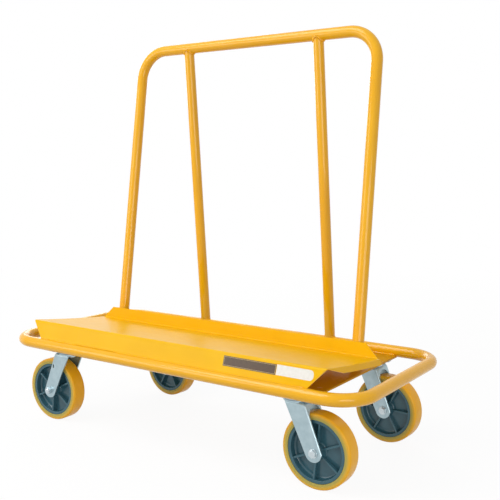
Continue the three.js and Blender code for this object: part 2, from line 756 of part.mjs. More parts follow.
// Core: rim, thin web, long hub and ribs that stand on the web on both sides.
function wheelCore() {
  const rimHalf = CORE_WIDTH / 2;
  const webHalf = WEB_THICKNESS / 2;
  const hubHalf = FORK_HALF_INSIDE - HUB_SIDE_CLEARANCE;
  const rimOuter = overFlats(CORE_RADIUS);
  const rimInner = rimOuter - RIM_DEPTH;
  const hubRadius = HUB_DIAMETER / 2;
  const bore = overFlats(SLEEVE_DIAMETER / 2 + FIT_GAP);
  const body = revolve([
    [bore, -hubHalf],
    [hubRadius, -hubHalf],
    [hubRadius, -webHalf],
    [rimInner, -webHalf],
    [rimInner, -rimHalf],
    [rimOuter, -rimHalf],
    [rimOuter, rimHalf],
    [rimInner, rimHalf],
    [rimInner, webHalf],
    [hubRadius, webHalf],
    [hubRadius, hubHalf],
    [bore, hubHalf],
  ]);
  const ribInner = (bore + hubRadius) / 2;
  const ribLength = rimInner + RIM_DEPTH / 2 - ribInner;
  const ribWidth = CORE_WIDTH - 2 * RIB_RECESS;
  const ribs = [];
  for (let i = 0; i < RIB_COUNT; i += 1) {
    const rib = new THREE.BoxGeometry(ribLength, ribWidth, RIB_THICKNESS);
    rib.translate(ribInner + ribLength / 2, 0, 0).rotateY((2 * Math.PI * i) / RIB_COUNT);
    ribs.push(rib);
  }
  return join(body, ...ribs);
}

function addCaster({ name, side, row, heading, coreTurn }) {
  const caster = new THREE.Group();
  caster.position.set((side * KINGPIN_SPREAD_X) / 2, kingpinY(row), 0);
  cart.add(caster);
  addMesh(caster, `${name}_top_plate`, topPlate(), ZINC_PLATE);
  addMesh(caster, `${name}_kingpin`, kingpin(), BRIGHT_ZINC);
  addMesh(caster, `${name}_ball_race`, ballRace(), ZINC_PLATE);
  boltPlaces().forEach(([x, y], i) => {
    const bolt = addMesh(caster, `${name}_plate_bolt_${i + 1}`, plateBolt(), BRIGHT_ZINC);
    bolt.position.set(x, y, 0);
  });

  const swivel = new THREE.Group();
  swivel.rotation.z = THREE.MathUtils.degToRad(heading);
  caster.add(swivel);
  addMesh(swivel, `${name}_fork`, fork(), ZINC_PLATE);

  const axle = new THREE.Group();
  axle.position.set(CASTER_TRAIL, 0, WHEEL_RADIUS);
  swivel.add(axle);
  addMesh(axle, `${name}_axle_bolt`, axleBolt(), BRIGHT_ZINC);
  addMesh(axle, `${name}_axle_nut`, axleNut(), BRIGHT_ZINC);
  addMesh(axle, `${name}_axle_sleeve`, axleSleeve(), BRIGHT_ZINC);
  const core = addMesh(axle, `${name}_wheel_core`, wheelCore(), DARK_CORE);
  core.rotation.y = THREE.MathUtils.degToRad(coreTurn);
  addMesh(axle, `${name}_tread`, tread(), AMBER_TREAD);
}

addMesh(cart, "bumper_loop", bumperLoop(), YELLOW_PAINT);
addMesh(cart, "mount_plate_left", mountPlate(-1), YELLOW_PAINT);
addMesh(cart, "mount_plate_right", mountPlate(1), YELLOW_PAINT);
addMesh(cart, "brace_left", brace(-1), YELLOW_PAINT);
addMesh(cart, "brace_right", brace(1), YELLOW_PAINT);
addMesh(leaning, "push_hoop", pushHoop(), YELLOW_PAINT);
addMesh(leaning, "deck_tray", deckTray(), YELLOW_PAINT);
cart.add(leaning);
CASTERS.forEach(addCaster);

export default cart;
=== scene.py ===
# Sheet goods cart: the finished surfaces of a tube-framed cart with a sloping deck and four swivel casters.
# Metres. +X runs along the cart, -Y faces the loading side, +Z is up and the floor is z = 0.
import json
import math

import bmesh
import bpy
from mathutils import Matrix, Vector


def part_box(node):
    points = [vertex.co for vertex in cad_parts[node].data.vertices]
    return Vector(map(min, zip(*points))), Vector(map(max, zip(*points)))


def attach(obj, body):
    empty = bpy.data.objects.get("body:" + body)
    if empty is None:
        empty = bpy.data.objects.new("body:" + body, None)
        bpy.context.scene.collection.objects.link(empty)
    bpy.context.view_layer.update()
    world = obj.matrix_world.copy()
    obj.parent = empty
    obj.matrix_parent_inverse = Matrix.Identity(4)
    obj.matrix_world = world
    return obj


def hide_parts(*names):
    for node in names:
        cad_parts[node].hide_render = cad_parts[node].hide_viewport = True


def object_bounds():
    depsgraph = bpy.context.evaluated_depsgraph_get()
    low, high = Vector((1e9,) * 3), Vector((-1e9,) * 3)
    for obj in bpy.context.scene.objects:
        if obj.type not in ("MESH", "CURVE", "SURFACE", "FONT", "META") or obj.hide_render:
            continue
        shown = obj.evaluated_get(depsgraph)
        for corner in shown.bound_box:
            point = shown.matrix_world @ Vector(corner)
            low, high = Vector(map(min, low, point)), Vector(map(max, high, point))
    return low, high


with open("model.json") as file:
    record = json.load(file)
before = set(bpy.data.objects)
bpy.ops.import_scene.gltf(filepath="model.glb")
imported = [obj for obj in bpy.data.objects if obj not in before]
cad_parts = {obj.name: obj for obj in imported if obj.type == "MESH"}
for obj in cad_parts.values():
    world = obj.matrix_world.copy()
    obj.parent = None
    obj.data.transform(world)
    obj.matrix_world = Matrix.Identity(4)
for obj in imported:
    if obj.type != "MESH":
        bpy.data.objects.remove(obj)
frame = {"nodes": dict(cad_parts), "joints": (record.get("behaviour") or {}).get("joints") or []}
cad_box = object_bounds()

MM = 0.001
TINY = 0.1 * MM
MERGE = 0.01 * MM
SIDES = ((-1, "left"), (1, "right"))

# Tube stock and its bends.
TUBE_RADIUS = 17.4625 * MM
BRACE_RADIUS = 16.75 * MM
BEND_RADIUS = 95 * MM
COPE_DEPTH = 0.5 * MM
TUBE_SIDES = 40
BEND_STEPS = 16
TUBE_SMOOTH = 40

# The loop and the cross plates, from the frame.
loop_low, loop_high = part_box("bumper_loop")
LOOP_X = loop_high[0] - TUBE_RADIUS
LOOP_Y = loop_high[1] - TUBE_RADIUS
LOOP_Z = (loop_low[2] + loop_high[2]) / 2
FAR_TUBE = Vector((0, LOOP_Y, LOOP_Z))
PLATE_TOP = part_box("mount_plate_left")[1][2]
PLATE_EASE = 0.8 * MM

# The leaning hoop and its braces.
LEAN = math.radians(7.5)
HOOP_FOOT_Y = 65.3 * MM
HOOP_FOOT_X = 462.5 * MM
HOOP_SHOULDER_X = 454 * MM
HOOP_TOP_Z = 1229.3 * MM
HOOP_TOP = Vector((0, HOOP_FOOT_Y + (HOOP_TOP_Z - PLATE_TOP) * math.tan(LEAN), HOOP_TOP_Z))
BRACE_TOP_X = 252 * MM
BRACE_FOOT_X = 256 * MM
BRACE_FOOT_Y = LOOP_Y + 6 * MM

# The folded deck, in the hoop's leaning frame.
SHEET = 3 * MM
SHEET_EASE = 0.5 * MM
FACE_SINK = 2 * MM
FOLD_INSIDE = 3 * MM
FOLD_STEPS = 6
DECK_HALF = 543.5 * MM
DECK_DEPTH = 310.7 * MM
DECK_RISE = 37.5 * MM
DECK_STRIPS = 12
DECK_SAG = 2 * MM
FLANGE_GAP = 0.3 * MM
FLANGE_FRONT = -(TUBE_RADIUS + FLANGE_GAP + SHEET)
FLANGE_HEIGHT = 39.6 * MM
FLANGE_FOOT_INSET = 7.5 * MM
FLANGE_TOP_INSET = 48 * MM
CORNER_CUT = 4 * MM
FACE_FOOT_INSET = 48 * MM
LIP_DROP = 14.5 * MM
LIP_FLARE = 8.5 * MM
LIP_TAPER = 80 * MM
RIDGE = FLANGE_FRONT - DECK_DEPTH

# An unwelded length of the near face's foot.
UNWELDED_START = -334 * MM
UNWELDED_END = -163 * MM
UNWELDED_DEPTH = 12 * MM
UNWELDED_HEIGHT = 1.8 * MM
UNWELDED_SETBACK = 4 * MM

# The films stuck on the near face: left and right along the cart, top and bottom down from the ridge.
DARK_FILM = (229 * MM, 397.5 * MM, 10 * MM, 37.4 * MM)
PALE_FILM = (399 * MM, 509 * MM, 9.5 * MM, 36.7 * MM)
PALE_FILM_ROUND = 11 * MM
FILM_GAUGE = 0.3 * MM
FILM_LIFT = 0.05 * MM
KEYLINE_INSET = 2 * MM
KEYLINE_WIDTH = 0.8 * MM

# Casters: each trails from its kingpin to its axle.
CASTERS = ("front_left", "front_right", "rear_left", "rear_right")
CASTER_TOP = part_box("front_left_top_plate")[1][2]
CROWN_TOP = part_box("front_left_fork")[1][2]
WHEEL_RADIUS = 101.6 * MM
TRAIL = 67 * MM
AXLE = Matrix.Translation((TRAIL, 0, WHEEL_RADIUS))
TO_NEAR_SIDE = Matrix.Rotation(math.pi / 2, 4, "X")
TO_FAR_SIDE = Matrix.Rotation(-math.pi / 2, 4, "X")

# The swivel: a top plate with a raceway, over a grooved race ring.
TOP_PLATE = Vector((114 * MM, 102 * MM, 5.5 * MM))
TOP_PLATE_CORNER = 12 * MM
RACE_RADIUS = 40 * MM
RACEWAY_BORE = 10 * MM
RACEWAY_DEPTH = 4 * MM
RACEWAY_ROUND = 2.5 * MM
RACEWAY_ROOT = MM
RACE_BORE = 23 * MM
RACE_ROUND = 1.6 * MM
GROOVE_RADIUS = 37 * MM
GROOVE_HALF = 0.6 * MM
GROOVE_ROUND = 0.4 * MM

# The pressed fork. Its raked edge starts at the shoulder and passes the axle at LEG_EDGE.
FORK_GAUGE = 5 * MM
FORK_INSIDE = 31 * MM
FORK_OUTSIDE = FORK_INSIDE + FORK_GAUGE
FORK_SHOULDER = Vector((41 * MM, CROWN_TOP - 5 * MM))
FORK_BEND = 10.5 * MM
FORK_CORNER_SHARE = 0.53
FORK_EASE = 0.7 * MM
FORK_SPARE_LENGTH = 80 * MM
FORK_SPARE_WIDTH = 20 * MM
FORK_SPARE_FOOT = 30 * MM
CROWN_MIDDLE = 14 * MM
CROWN_LENGTH = 68 * MM
CROWN_DEPTH = 10 * MM
LEG_EDGE = 23 * MM
LEG_END = 24 * MM
ARCH_RADIUS = FORK_INSIDE - 0.5 * MM
ARCH_HEIGHT = CROWN_TOP - 45 * MM
KINGPIN_HOLE = 9.3 * MM
AXLE_HOLE = 6.65 * MM
LEG_SLOT_RADIUS = 2.5 * MM
LEG_SLOT_REACH = 3.5 * MM
LEG_SLOT_X = 47 * MM
LEG_SLOT_Z = 185 * MM
THROUGH = 60 * MM

# Kingpin and plate bolts.
SEAT_GAP = 0.3 * MM
KINGPIN_RADIUS = 9 * MM
KINGPIN_HEAD_RADIUS = 15 * MM
KINGPIN_HEAD_HEIGHT = 3.2 * MM
KINGPIN_HEAD_ROUND = 0.8 * MM
KINGPIN_NUT_ACROSS = 27 * MM
KINGPIN_NUT_HEIGHT = 9.5 * MM
BOLTS = range(1, 5)
BOLT_RADIUS = 4.7 * MM
BOLT_TIP = 3 * MM
BOLT_NUT_ACROSS = 16 * MM
BOLT_NUT_HEIGHT = 6.5 * MM
BOLT_HEAD_RADIUS = 8.4 * MM
BOLT_HEAD_DEPTH = 3 * MM
PAINTED_HEAD_HEIGHT = MM
PAINTED_HEAD_SINK = 0.3 * MM
PAINTED_HEAD_EASE = 0.2 * MM

# Axle bolt and nut.
AXLE_SEAT = FORK_OUTSIDE + SEAT_GAP
AXLE_RADIUS = 6.35 * MM
AXLE_CLEARANCE = 6.6 * MM
AXLE_ACROSS = 19 * MM
AXLE_HEAD_HEIGHT = 5.3 * MM
AXLE_NUT_HEIGHT = 10.5 * MM
AXLE_TIP = 14 * MM
AXLE_THREAD = 6 * MM
WASHER_RADIUS = 12.5 * MM
WASHER_HEIGHT = 2.2 * MM
THREAD_PITCH = 1.5 * MM
THREAD_DEPTH = 0.6 * MM
THREAD_POINT = 1.2 * MM
HEXAGON_EASE = 0.25 * MM

# The wheel: a ribbed core with a tread moulded round it.
RIM_RADIUS = 84.6 * MM
RIM_INSIDE = 75.6 * MM
RIM_HALF = 22.5 * MM
RIM_EDGE = 1 * MM
RIM_FILLET = 7 * MM
HUB_RADIUS = 22 * MM
HUB_HALF = 29.8 * MM
HUB_EDGE = 1.5 * MM
HUB_FILLET = 4 * MM
WEB_HALF_AT_HUB = 8 * MM
WEB_HALF_AT_RIM = 4 * MM
BORE = 9.8 * MM
RIB_COUNT = 6
RIB_WIDTH = 6 * MM
RIB_HEIGHT = 39 * MM
RIB_EASE = 1.2 * MM
RIB_BITE = 4 * MM
TREAD_HALF = 24 * MM
TREAD_INSIDE = RIM_RADIUS + 0.3 * MM
TREAD_FOOT_ROUND = 0.6 * MM
TREAD_ROUND = 6 * MM
CORE_TURN = {"front_left": -24, "front_right": 24, "rear_left": 0, "rear_right": 0}

# Weld beads.
BEAD_PITCH = 2.4 * MM
BEAD_RIPPLE = 0.14
BEAD_OFFSET = MM
SADDLE_POINTS = 108
SADDLE_MARGIN = 3 * MM
LEG_POINTS = 60
LEG_BEAD_GAP = 0.6 * MM
LEG_BEAD_LIFT = 0.8 * MM
LEG_BEAD = 2.6 * MM
BRACE_TOP_BEAD = 4.5 * MM
BRACE_FOOT_BEAD = 2.6 * MM
PLATE_BEAD = 3 * MM
PLATE_BEAD_INSET = 8 * MM
FLANGE_BEAD = 2 * MM
FLANGE_BEAD_HALF = 13 * MM
STITCH_BEAD = 1.8 * MM
STITCH_START = 458 * MM
STITCH_END = 488 * MM


# Selecting, starting and finishing a piece

def deselect():
    bpy.ops.object.select_all(action="DESELECT")


def edit():
    bpy.ops.object.mode_set(mode="EDIT")


def leave_edit():
    bpy.ops.object.mode_set(mode="OBJECT")


def settle():
    bpy.ops.object.transform_apply(location=True, rotation=True, scale=True)


def corners(node):
    """The low and the high corner of a CAD node's box."""
    return [Vector(corner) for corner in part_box(node)]


def pick(kind, test):
    """Selects the vertices, edges or faces of the mesh in edit mode that pass the test."""
    bpy.ops.mesh.select_mode(type=kind)
    bpy.ops.mesh.select_all(action="DESELECT")
    mesh = bpy.context.object.data
    shape = bmesh.from_edit_mesh(mesh)
    for item in {"VERT": shape.verts, "EDGE": shape.edges, "FACE": shape.faces}[kind]:
        if test(item):
            item.select_set(True)
    bmesh.update_edit_mesh(mesh)


def only(piece):
    deselect()
    piece.select_set(True)
    bpy.context.view_layer.objects.active = piece


def use_modifier(piece, kind, **settings):
    only(piece)
    modifier = piece.modifiers.new(kind.lower(), kind)
    for name, value in settings.items():
        setattr(modifier, name, value)
    bpy.ops.object.modifier_apply(modifier=modifier.name)


def combine(piece, other, operation):
    use_modifier(piece, "BOOLEAN", object=other, operation=operation, solver="EXACT")
    bpy.data.objects.remove(other)
    only(piece)


def unite(first, *others):
    deselect()
    for piece in others:
        piece.select_set(True)
    first.select_set(True)
    bpy.context.view_layer.objects.active = first
    bpy.ops.object.join()
    return first


def place(piece, matrix):
    only(piece)
    piece.matrix_world = matrix
    bpy.context.view_layer.update()
    settle()
    return piece


def hanging(height):
    """Turns a piece that stands on z = 0 over, to hang from the height."""
    return Matrix.Translation((0, 0, height)) @ Matrix.Rotation(math.pi, 4, "X")


def ease_edges(piece, width, steps=2, angle=30):
    use_modifier(
        piece, "BEVEL", width=width, segments=steps, limit_method="ANGLE",
        angle_limit=math.radians(angle), harden_normals=False,
    )


def tidy_mesh(piece, angle=30):
    only(piece)
    edit()
    bpy.ops.mesh.select_all(action="SELECT")
    bpy.ops.mesh.remove_doubles(threshold=MERGE)
    bpy.ops.mesh.normals_make_consistent(inside=False)
    leave_edit()
    bpy.ops.object.shade_smooth_by_angle(angle=math.radians(angle))


def flatten(piece):
    """Keeps the shading of wide flat faces flat up to their eased edges."""
    use_modifier(piece, "WEIGHTED_NORMAL", keep_sharp=True, weight=100)


def finish(piece, name, body, slot, material, *nodes):
    piece.name = name
    piece.data.name = name
    piece.data.materials.clear()
    piece.data.materials.append(material)
    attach(piece, body)
    if nodes:
        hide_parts(*nodes)
    return piece


def block(size, centre):
    deselect()
    bpy.ops.mesh.primitive_cube_add(size=1, location=centre)
    bpy.context.object.scale = size
    settle()
    return bpy.context.object


def sheet_blank(size, centre):
    """A flat rectangle, from which a folded piece starts."""
    deselect()
    bpy.ops.mesh.primitive_plane_add(size=1, location=centre)
    bpy.context.object.scale = (*size, 1)
    settle()
    return bpy.context.object


def turn_from_z(along):
    return Vector((0, 0, 1)).rotation_difference(Vector(along)).to_euler()


def drum(radius, length, centre, along=(0, 0, 1), sides=48):
    deselect()
    bpy.ops.mesh.primitive_cylinder_add(
        vertices=sides, radius=radius, depth=length, location=centre, rotation=turn_from_z(along),
    )
    settle()
    return bpy.context.object


# Tubes: a ring is drawn out along straight runs and spun round bends

def start_tube(centre, along, radius=TUBE_RADIUS):
    deselect()
    bpy.ops.mesh.primitive_circle_add(
        vertices=TUBE_SIDES, radius=radius, location=centre, rotation=turn_from_z(along),
    )
    settle()
    edit()
    bpy.ops.mesh.select_mode(type="EDGE")
    bpy.ops.mesh.select_all(action="SELECT")


def run(step):
    bpy.ops.mesh.extrude_edges_move(TRANSFORM_OT_translate={"value": tuple(step)})


def bend(centre, axis, angle):
    """Turns by the right hand about the axis, where the spin tool counts its angle the other way."""
    bpy.ops.mesh.spin(steps=BEND_STEPS, angle=-angle, center=tuple(centre), axis=tuple(axis))


def end_tube():
    bpy.ops.mesh.select_all(action="SELECT")
    bpy.ops.mesh.remove_doubles(threshold=MERGE)
    bpy.ops.mesh.fill_holes(sides=0)
    bpy.ops.mesh.select_all(action="SELECT")
    bpy.ops.mesh.normals_make_consistent(inside=False)
    leave_edit()
    bpy.ops.object.shade_smooth_by_angle(angle=math.radians(TUBE_SMOOTH))
    return bpy.context.object


def straight_tube(start, end, radius=TUBE_RADIUS):
    step = Vector(end) - Vector(start)
    start_tube(start, step.normalized(), radius)
    run(step)
    return end_tube()


def bumper_loop():
    """Runs anticlockwise from the middle of the near side, back to where it began."""
    long_run = LOOP_X - BEND_RADIUS
    inner_y = LOOP_Y - BEND_RADIUS
    up = (0, 0, 1)
    start_tube((0, -LOOP_Y, LOOP_Z), (1, 0, 0))
    run((long_run, 0, 0))
    bend((long_run, -inner_y, LOOP_Z), up, math.pi / 2)
    run((0, 2 * inner_y, 0))
    bend((long_run, inner_y, LOOP_Z), up, math.pi / 2)
    run((-2 * long_run, 0, 0))
    bend((-long_run, inner_y, LOOP_Z), up, math.pi / 2)
    run((0, -2 * inner_y, 0))
    bend((-long_run, -inner_y, LOOP_Z), up, math.pi / 2)
    run((long_run, 0, 0))
    return end_tube()


def leaning_place():
    """From the upright frame that the hoop and deck are drawn in to where they stand."""
    return Matrix.Translation((0, HOOP_FOOT_Y, PLATE_TOP)) @ Matrix.Rotation(-LEAN, 4, "X")


def push_hoop():
    top = (HOOP_TOP_Z - PLATE_TOP) / math.cos(LEAN)
    foot = Vector((HOOP_FOOT_X, 0, -TUBE_RADIUS))
    shoulder = Vector((HOOP_SHOULDER_X, 0, top))
    rise = (shoulder - foot).normalized()
    turn = rise.angle(Vector((-1, 0, 0)))
    setback = BEND_RADIUS * math.tan(turn / 2)
    inward = Vector((-rise.z, 0, rise.x))
    start_tube(foot, rise)
    run(shoulder - rise * setback - foot)
    bend(shoulder - rise * setback + inward * BEND_RADIUS, (0, -1, 0), turn)
    run((-2 * (HOOP_SHOULDER_X - setback), 0, 0))
    bend((-HOOP_SHOULDER_X + setback, 0, top - BEND_RADIUS), (0, -1, 0), turn)
    run(Vector((-1, 1, 1)) * (foot - shoulder + rise * setback))
    hoop = place(end_tube(), leaning_place())
    edit()
    bpy.ops.mesh.select_all(action="SELECT")
    bpy.ops.mesh.bisect(
        plane_co=(0, 0, PLATE_TOP), plane_no=(0, 0, 1), use_fill=True, clear_inner=True,
    )
    leave_edit()
    tidy_mesh(hoop, TUBE_SMOOTH)
    return hoop


def brace_ends(side):
    """A brace's foot in the far tube and its top in the hoop's bar."""
    foot = Vector((side * BRACE_FOOT_X, BRACE_FOOT_Y, LOOP_Z))
    return foot, Vector((side * BRACE_TOP_X, HOOP_TOP.y, HOOP_TOP.z))


def brace(side):
    tube = straight_tube(*brace_ends(side), BRACE_RADIUS)
    reach = Vector((2 * BRACE_FOOT_X, 0, 0))
    for bar in (HOOP_TOP, FAR_TUBE):
        cope = straight_tube(bar - reach, bar + reach, TUBE_RADIUS - COPE_DEPTH)
        combine(tube, cope, "DIFFERENCE")
    tidy_mesh(tube, TUBE_SMOOTH)
    return tube


# Folded and cut plate

def cross_plate(word):
    low, high = corners(f"mount_plate_{word}")
    plate = block(high - low, (low + high) / 2)
    ease_edges(plate, PLATE_EASE)
    for i in BOLTS:
        for row in ("front", "rear"):
            bolt_low, bolt_high = corners(f"{row}_{word}_plate_bolt_{i}")
            middle = (bolt_low + bolt_high) / 2
            height = PLATE_TOP - PAINTED_HEAD_SINK
            head = drum(BOLT_HEAD_RADIUS, PAINTED_HEAD_HEIGHT, (middle.x, middle.y, height))
            ease_edges(head, PAINTED_HEAD_EASE)
            unite(plate, head)
    tidy_mesh(plate)
    return plate


def narrow(share):
    """Draws the picked edges together along X, or apart, about the middle of the cart."""
    bpy.ops.transform.resize(value=(share, 1, 1), center_override=(0, 0, 0))


def fold_at(test, radius):
    pick("EDGE", test)
    bpy.ops.mesh.bevel(offset=radius, segments=FOLD_STEPS, affect="EDGES", clamp_overlap=False)


def near_face():
    """Where the deck's ridge and the near face's foot lie in the leaning frame."""
    near_tube = leaning_place().inverted() @ Vector((0, -LOOP_Y, LOOP_Z))
    return Vector((0, RIDGE, DECK_RISE)), near_tube + Vector((0, 0, TUBE_RADIUS))


def lies_at(y):
    """A test for edges that run along the cart at y."""
    return lambda edge: all(abs(vertex.co.y - y) < TINY for vertex in edge.verts)


def on_deck_level(edge):
    return all(abs(vertex.co.z - DECK_RISE) < TINY for vertex in edge.verts)


def on_deck_end(edge):
    along_end = edge.verts[0].co.x * edge.verts[1].co.x > 0
    return along_end and all(abs(abs(vertex.co.x) - DECK_HALF) < TINY for vertex in edge.verts)


def draw_deck_skin():
    """Deck strips from the ridge to the flange, then the flange up from them and the near face down."""
    ridge, foot = near_face()
    fall = foot - ridge
    sunk = (fall.length + FACE_SINK) / fall.length
    flange_end = DECK_HALF - FLANGE_FOOT_INSET
    strip = (FLANGE_FRONT - CORNER_CUT - RIDGE) / DECK_STRIPS
    skin = sheet_blank((2 * DECK_HALF, strip), (0, RIDGE + strip / 2, DECK_RISE))
    edit()
    pick("EDGE", lies_at(RIDGE + strip))
    for i in range(DECK_STRIPS - 1):
        run((0, strip, 0))
    run((0, CORNER_CUT, 0))
    narrow(flange_end / DECK_HALF)
    run((0, 0, FLANGE_HEIGHT))
    narrow((DECK_HALF - FLANGE_TOP_INSET) / flange_end)
    pick("EDGE", lies_at(RIDGE))
    run(fall * sunk)
    narrow((DECK_HALF - FACE_FOOT_INSET * sunk) / DECK_HALF)
    return skin


def turn_down_lips(skin):
    """The lips at the deck's ends, which start from nothing at the ridge."""
    pick("EDGE", on_deck_end)
    run((0, 0, -LIP_DROP))
    shape = bmesh.from_edit_mesh(skin.data)
    for vertex in shape.verts:
        if vertex.select:
            share = min((vertex.co.y - RIDGE) / LIP_TAPER, 1)
            vertex.co.x = math.copysign(DECK_HALF + LIP_FLARE * share, vertex.co.x)
            vertex.co.z = DECK_RISE - LIP_DROP * share
    bmesh.update_edit_mesh(skin.data)
    bpy.ops.mesh.select_all(action="SELECT")
    bpy.ops.mesh.remove_doubles(threshold=MERGE)


def sag(skin):
    """Lowers the deck by a parabola between the ridge and the flange."""
    shape = bmesh.from_edit_mesh(skin.data)
    for vertex in shape.verts:
        share = (vertex.co.y - RIDGE) / DECK_DEPTH
        if 0 < share < 1:
            vertex.co.z -= 4 * DECK_SAG * share * (1 - share)
    bmesh.update_edit_mesh(skin.data)


def deck_tray():
    """The skin that faces up and out is drawn as one sheet, folded, and given its gauge behind."""
    sheet = draw_deck_skin()
    turn_down_lips(sheet)
    fold_at(lambda edge: on_deck_level(edge) and lies_at(RIDGE)(edge), FOLD_INSIDE + SHEET)
    fold_at(lambda edge: on_deck_level(edge) and lies_at(FLANGE_FRONT)(edge), FOLD_INSIDE)
    sag(sheet)
    leave_edit()
    use_modifier(sheet, "SOLIDIFY", thickness=SHEET, offset=-1, use_even_offset=True)
    ease_edges(sheet, SHEET_EASE, angle=50)
    foot = near_face()[1]
    unwelded = block(
        (UNWELDED_END - UNWELDED_START, UNWELDED_DEPTH, UNWELDED_HEIGHT),
        ((UNWELDED_START + UNWELDED_END) / 2, foot.y - UNWELDED_SETBACK, foot.z),
    )
    combine(sheet, unwelded, "DIFFERENCE")
    tidy_mesh(sheet, 25)
    flatten(sheet)
    return place(sheet, leaning_place())


def face_place():
    """On the near face: X along the cart, Y up the face from its ridge, Z out of it."""
    ridge, foot = near_face()
    up = (ridge - foot).normalized()
    along = Vector((1, 0, 0))
    axes = Matrix((along, up, along.cross(up))).transposed().to_4x4()
    return leaning_place() @ Matrix.Translation(ridge) @ axes


def film(left, right, top, bottom, rounded=0):
    """A stuck-on film, drawn flat, with the two corners on its right rounded where that is asked for."""
    middle = ((left + right) / 2, -(top + bottom) / 2, FILM_GAUGE / 2)
    piece = block((right - left, bottom - top, FILM_GAUGE), middle)
    if rounded:
        edit()
        pick("EDGE", lambda edge: all(vertex.co.x > right - TINY for vertex in edge.verts)
             and abs(edge.verts[0].co.z - edge.verts[1].co.z) > FILM_GAUGE / 2)
        bpy.ops.mesh.bevel(offset=rounded, segments=10, affect="EDGES")
        leave_edit()
    tidy_mesh(piece)
    return piece


def inside(edges, margin):
    left, right, top, bottom = edges
    return left + margin, right - margin, top + margin, bottom - margin


# Turned pieces: an outline of radius, height and corner radius, rounded and spun about Z

def turned(outline, steps):
    deselect()
    bpy.ops.mesh.primitive_circle_add(vertices=len(outline), radius=1, fill_type="NGON")
    piece = bpy.context.object
    points = [Vector((radius, 0, height)) for radius, height, corner in outline]
    for vertex, point in zip(piece.data.vertices, points):
        vertex.co = point
    edit()
    for point, (radius, height, corner) in zip(points, outline):
        if corner:
            pick("VERT", lambda vertex: (vertex.co - point).length < TINY)
            bpy.ops.mesh.bevel(offset=corner, segments=5, affect="VERTICES", clamp_overlap=False)
    bpy.ops.mesh.select_mode(type="FACE")
    bpy.ops.mesh.select_all(action="SELECT")
    bpy.ops.mesh.delete(type="ONLY_FACE")
    bpy.ops.mesh.select_mode(type="EDGE")
    bpy.ops.mesh.select_all(action="SELECT")
    bpy.ops.mesh.spin(steps=steps, angle=2 * math.pi, center=(0, 0, 0), axis=(0, 0, 1))
    leave_edit()
    tidy_mesh(piece)
    return piece


def both_sides(half):
    """An outline's other half, mirrored about height 0 and run back to where it began."""
    return half + [(radius, -height, corner) for radius, height, corner in reversed(half)]


def hexagon(across, height):
    """A hexagon standing on z = 0 with the corners of its top turned off."""
    head = drum(across / math.sqrt(3), height, (0, 0, height / 2), sides=6)
    crown = 0.475 * across
    deselect()
    bpy.ops.mesh.primitive_cone_add(
        vertices=48, radius1=crown + height * math.sqrt(3), radius2=crown, depth=height,
        location=(0, 0, height / 2),
    )
    settle()
    combine(head, bpy.context.object, "INTERSECT")
    ease_edges(head, HEXAGON_EASE, steps=1, angle=20)
    tidy_mesh(head, 20)
    return head


def washer(inner, outer, height):
    edge = 0.3 * height
    return turned([(inner, 0, 0), (outer, 0, edge), (outer, height, edge), (inner, height, 0)], 48)


def threaded_end(radius, length):
    """A bolt's end: ridges of thread with a turned point, standing on z = 0."""
    outline = [(0, 0, 0)]
    for i in range(int(length / THREAD_PITCH)):
        outline.append((radius - THREAD_DEPTH, i * THREAD_PITCH, 0))
        outline.append((radius, (i + 0.5) * THREAD_PITCH, 0))
    outline.append((radius - THREAD_POINT, length, 0))
    outline.append((0, length, 0))
    return turned(outline, 24)


# Caster pieces, drawn about the kingpin with the wheel trailing along +X

def top_plate():
    plate = block(TOP_PLATE, (0, 0, CASTER_TOP - TOP_PLATE.z / 2))
    edit()
    pick("EDGE", lambda edge: abs(edge.verts[0].co.z - edge.verts[1].co.z) > TOP_PLATE.z / 2)
    bpy.ops.mesh.bevel(offset=TOP_PLATE_CORNER, segments=8, affect="EDGES")
    leave_edit()
    ease_edges(plate, PLATE_EASE)
    tidy_mesh(plate)
    bottom = CASTER_TOP - TOP_PLATE.z
    raceway = turned(
        [
            (RACEWAY_BORE, bottom + RACEWAY_ROOT, 0),
            (RACE_RADIUS, bottom + RACEWAY_ROOT, 0),
            (RACE_RADIUS, bottom - RACEWAY_DEPTH, RACEWAY_ROUND),
            (RACEWAY_BORE, bottom - RACEWAY_DEPTH, 0),
        ],
        64,
    )
    return unite(plate, raceway)


def ball_race():
    low, high = corners("front_left_ball_race")
    groove = (low.z + high.z) / 2
    outline = [
        (RACE_BORE, low.z, 0),
        (RACE_RADIUS, low.z, RACE_ROUND),
        (RACE_RADIUS, groove - GROOVE_HALF, GROOVE_ROUND),
        (GROOVE_RADIUS, groove - GROOVE_HALF, 0),
        (GROOVE_RADIUS, groove + GROOVE_HALF, 0),
        (RACE_RADIUS, groove + GROOVE_HALF, GROOVE_ROUND),
        (RACE_RADIUS, high.z, RACE_ROUND),
        (RACE_BORE, high.z, 0),
    ]
    return turned(outline, 64)


